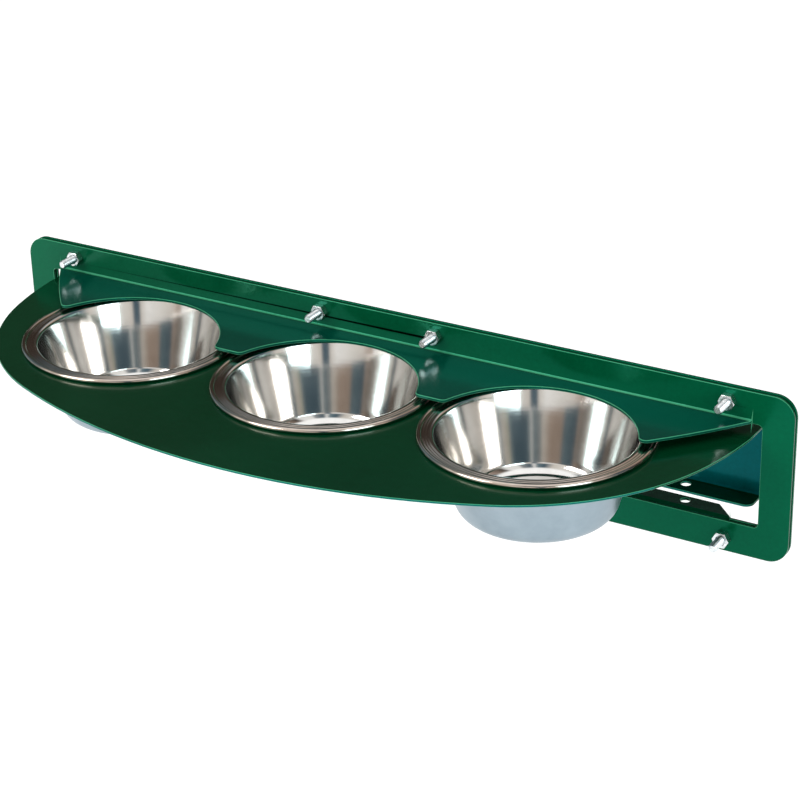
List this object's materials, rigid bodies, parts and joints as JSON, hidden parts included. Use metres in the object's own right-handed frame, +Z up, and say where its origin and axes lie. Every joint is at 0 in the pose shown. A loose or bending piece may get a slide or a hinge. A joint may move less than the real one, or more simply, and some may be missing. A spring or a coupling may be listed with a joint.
{
  "type": "swivelling bowl feeder",
  "caption": "Wall-mounted swivel feeder: a framed window in a mesh panel with a turning half-round shelf of steel bowls under a scalloped rim guard.",
  "frame": {"origin": "middle of the frame, halfway between the two plates, in the plane of the mesh panel they clamp", "axes": "+X along the panel, +Y through the panel away from the rim guard, +Z up"},
  "size_m": [0.6, 0.2209, 0.115],
  "materials": {
    "green_powder_coat": "gloss powder coat",
    "stainless_bowl": "polished inside, satin outside",
    "zinc_fastener": "bright zinc plate"
  },
  "bodies": {
    "frame": {"front_frame": "green_powder_coat", "rear_frame": "green_powder_coat", "frame_bolts": "zinc_fastener", "frame_nuts": "zinc_fastener", "upper_pivot_bolt": "zinc_fastener", "upper_pivot_spacer": "zinc_fastener", "upper_pivot_washer": "zinc_fastener", "upper_pivot_lock_nut": "zinc_fastener", "lower_pivot_bolt": "zinc_fastener", "lower_pivot_spacer": "zinc_fastener", "lower_pivot_washer": "zinc_fastener", "lower_pivot_lock_nut": "zinc_fastener"},
    "swing": {"swing_shelf": "green_powder_coat"},
    "bowl_left": {"bowl_left": "stainless_bowl"},
    "bowl_middle": {"bowl_middle": "stainless_bowl"},
    "bowl_right": {"bowl_right": "stainless_bowl"}
  },
  "joints": [
    {"name": "swing_pivot", "type": "hinge", "parent": "frame", "child": "swing", "pos_m": [0, 0.011, 0], "axis": [0, 0, 1], "continuous": true},
    {"name": "bowl_left_spin", "type": "hinge", "parent": "swing", "child": "bowl_left", "pos_m": [-0.157, -0.0692, 0], "axis": [0, 0, 1], "continuous": true},
    {"name": "bowl_middle_spin", "type": "hinge", "parent": "swing", "child": "bowl_middle", "pos_m": [0, -0.0692, 0], "axis": [0, 0, 1], "continuous": true},
    {"name": "bowl_right_spin", "type": "hinge", "parent": "swing", "child": "bowl_right", "pos_m": [0.157, -0.0692, 0], "axis": [0, 0, 1], "continuous": true}
  ]
}
